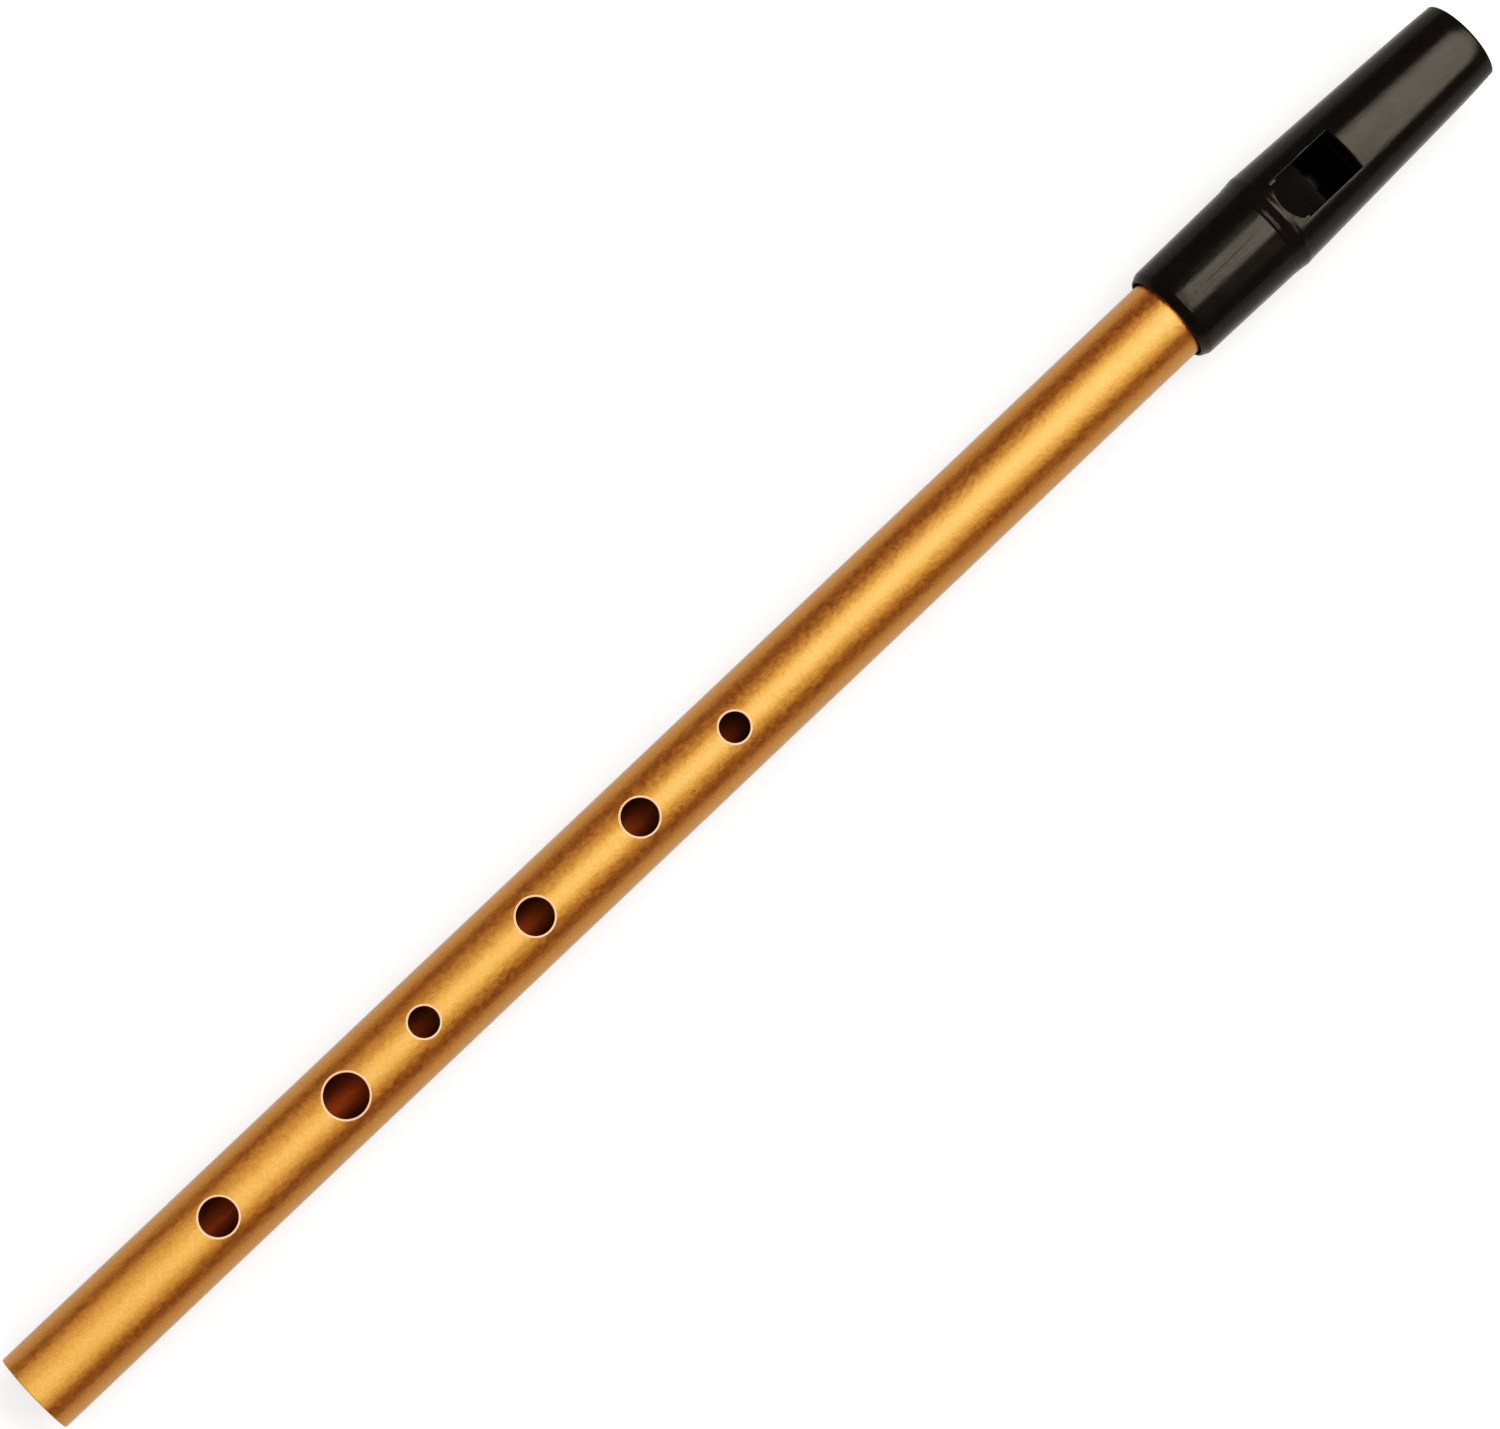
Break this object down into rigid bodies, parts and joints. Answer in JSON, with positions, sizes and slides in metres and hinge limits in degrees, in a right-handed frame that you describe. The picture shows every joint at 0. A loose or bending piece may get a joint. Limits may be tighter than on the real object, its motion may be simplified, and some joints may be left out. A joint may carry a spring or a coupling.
{
  "type": "tin whistle",
  "caption": "Soprano tin whistle: a drilled aluminium tube with a push-on black mouthpiece that slides to tune, and a windway block pressed into it.",
  "frame": {"origin": "centre of the tube's open foot, on the bore's axis", "axes": "+X along the bore from the foot to the mouth end, +Z out of the finger holes and the window"},
  "size_m": [0.3052, 0.018, 0.018],
  "materials": {
    "anodised_tube": "satin bead-blasted, amber gold anodised",
    "head_plastic": "moulded, semi-gloss warm black",
    "block_plastic": "moulded, fine matt black"
  },
  "bodies": {
    "tube": {"body_tube": "anodised_tube"},
    "head": {"head_shell": "head_plastic", "fipple_block": "block_plastic"}
  },
  "joints": [
    {"name": "tuning_slide", "type": "slide", "parent": "tube", "child": "head", "axis": [1, 0, 0], "range_m": [0, 0.01]}
  ]
}
